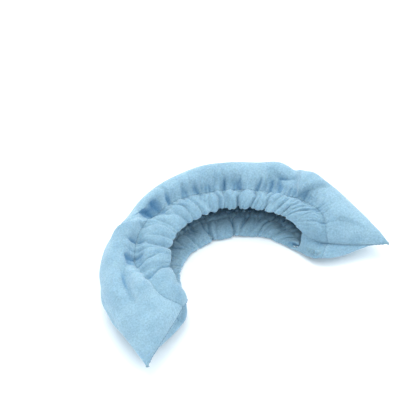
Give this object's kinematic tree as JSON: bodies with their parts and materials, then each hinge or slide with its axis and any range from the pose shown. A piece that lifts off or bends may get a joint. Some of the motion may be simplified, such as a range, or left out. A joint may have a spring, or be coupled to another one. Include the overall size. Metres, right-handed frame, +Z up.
{
  "type": "elasticated crescent cover",
  "caption": "Crescent-shaped velour cover with pointed closed ends and a gathered elastic mouth along its inner edge.",
  "frame": {"origin": "on the table, under the centre of the box round the cover", "axes": "+X along the crescent from its left tip to its right one, +Y towards the round back of the crescent, +Z up"},
  "size_m": [0.2714, 0.171, 0.0471],
  "materials": {
    "velour": "short soft pile, pale blue",
    "casing_velour": "short soft pile, pale blue, gathered",
    "elastic": "woven white elastic, matt",
    "thread": "twisted sewing thread, pale blue"
  },
  "bodies": {
    "root": {"shell": "velour", "upper_casing": "casing_velour", "lower_casing": "casing_velour", "elastic_band": "elastic", "elastic_join_thread": "thread", "casing_needle_thread": "thread", "casing_bobbin_thread": "thread", "left_end_needle_thread": "thread", "left_end_bobbin_thread": "thread", "right_end_needle_thread": "thread", "right_end_bobbin_thread": "thread"}
  },
  "joints": []
}
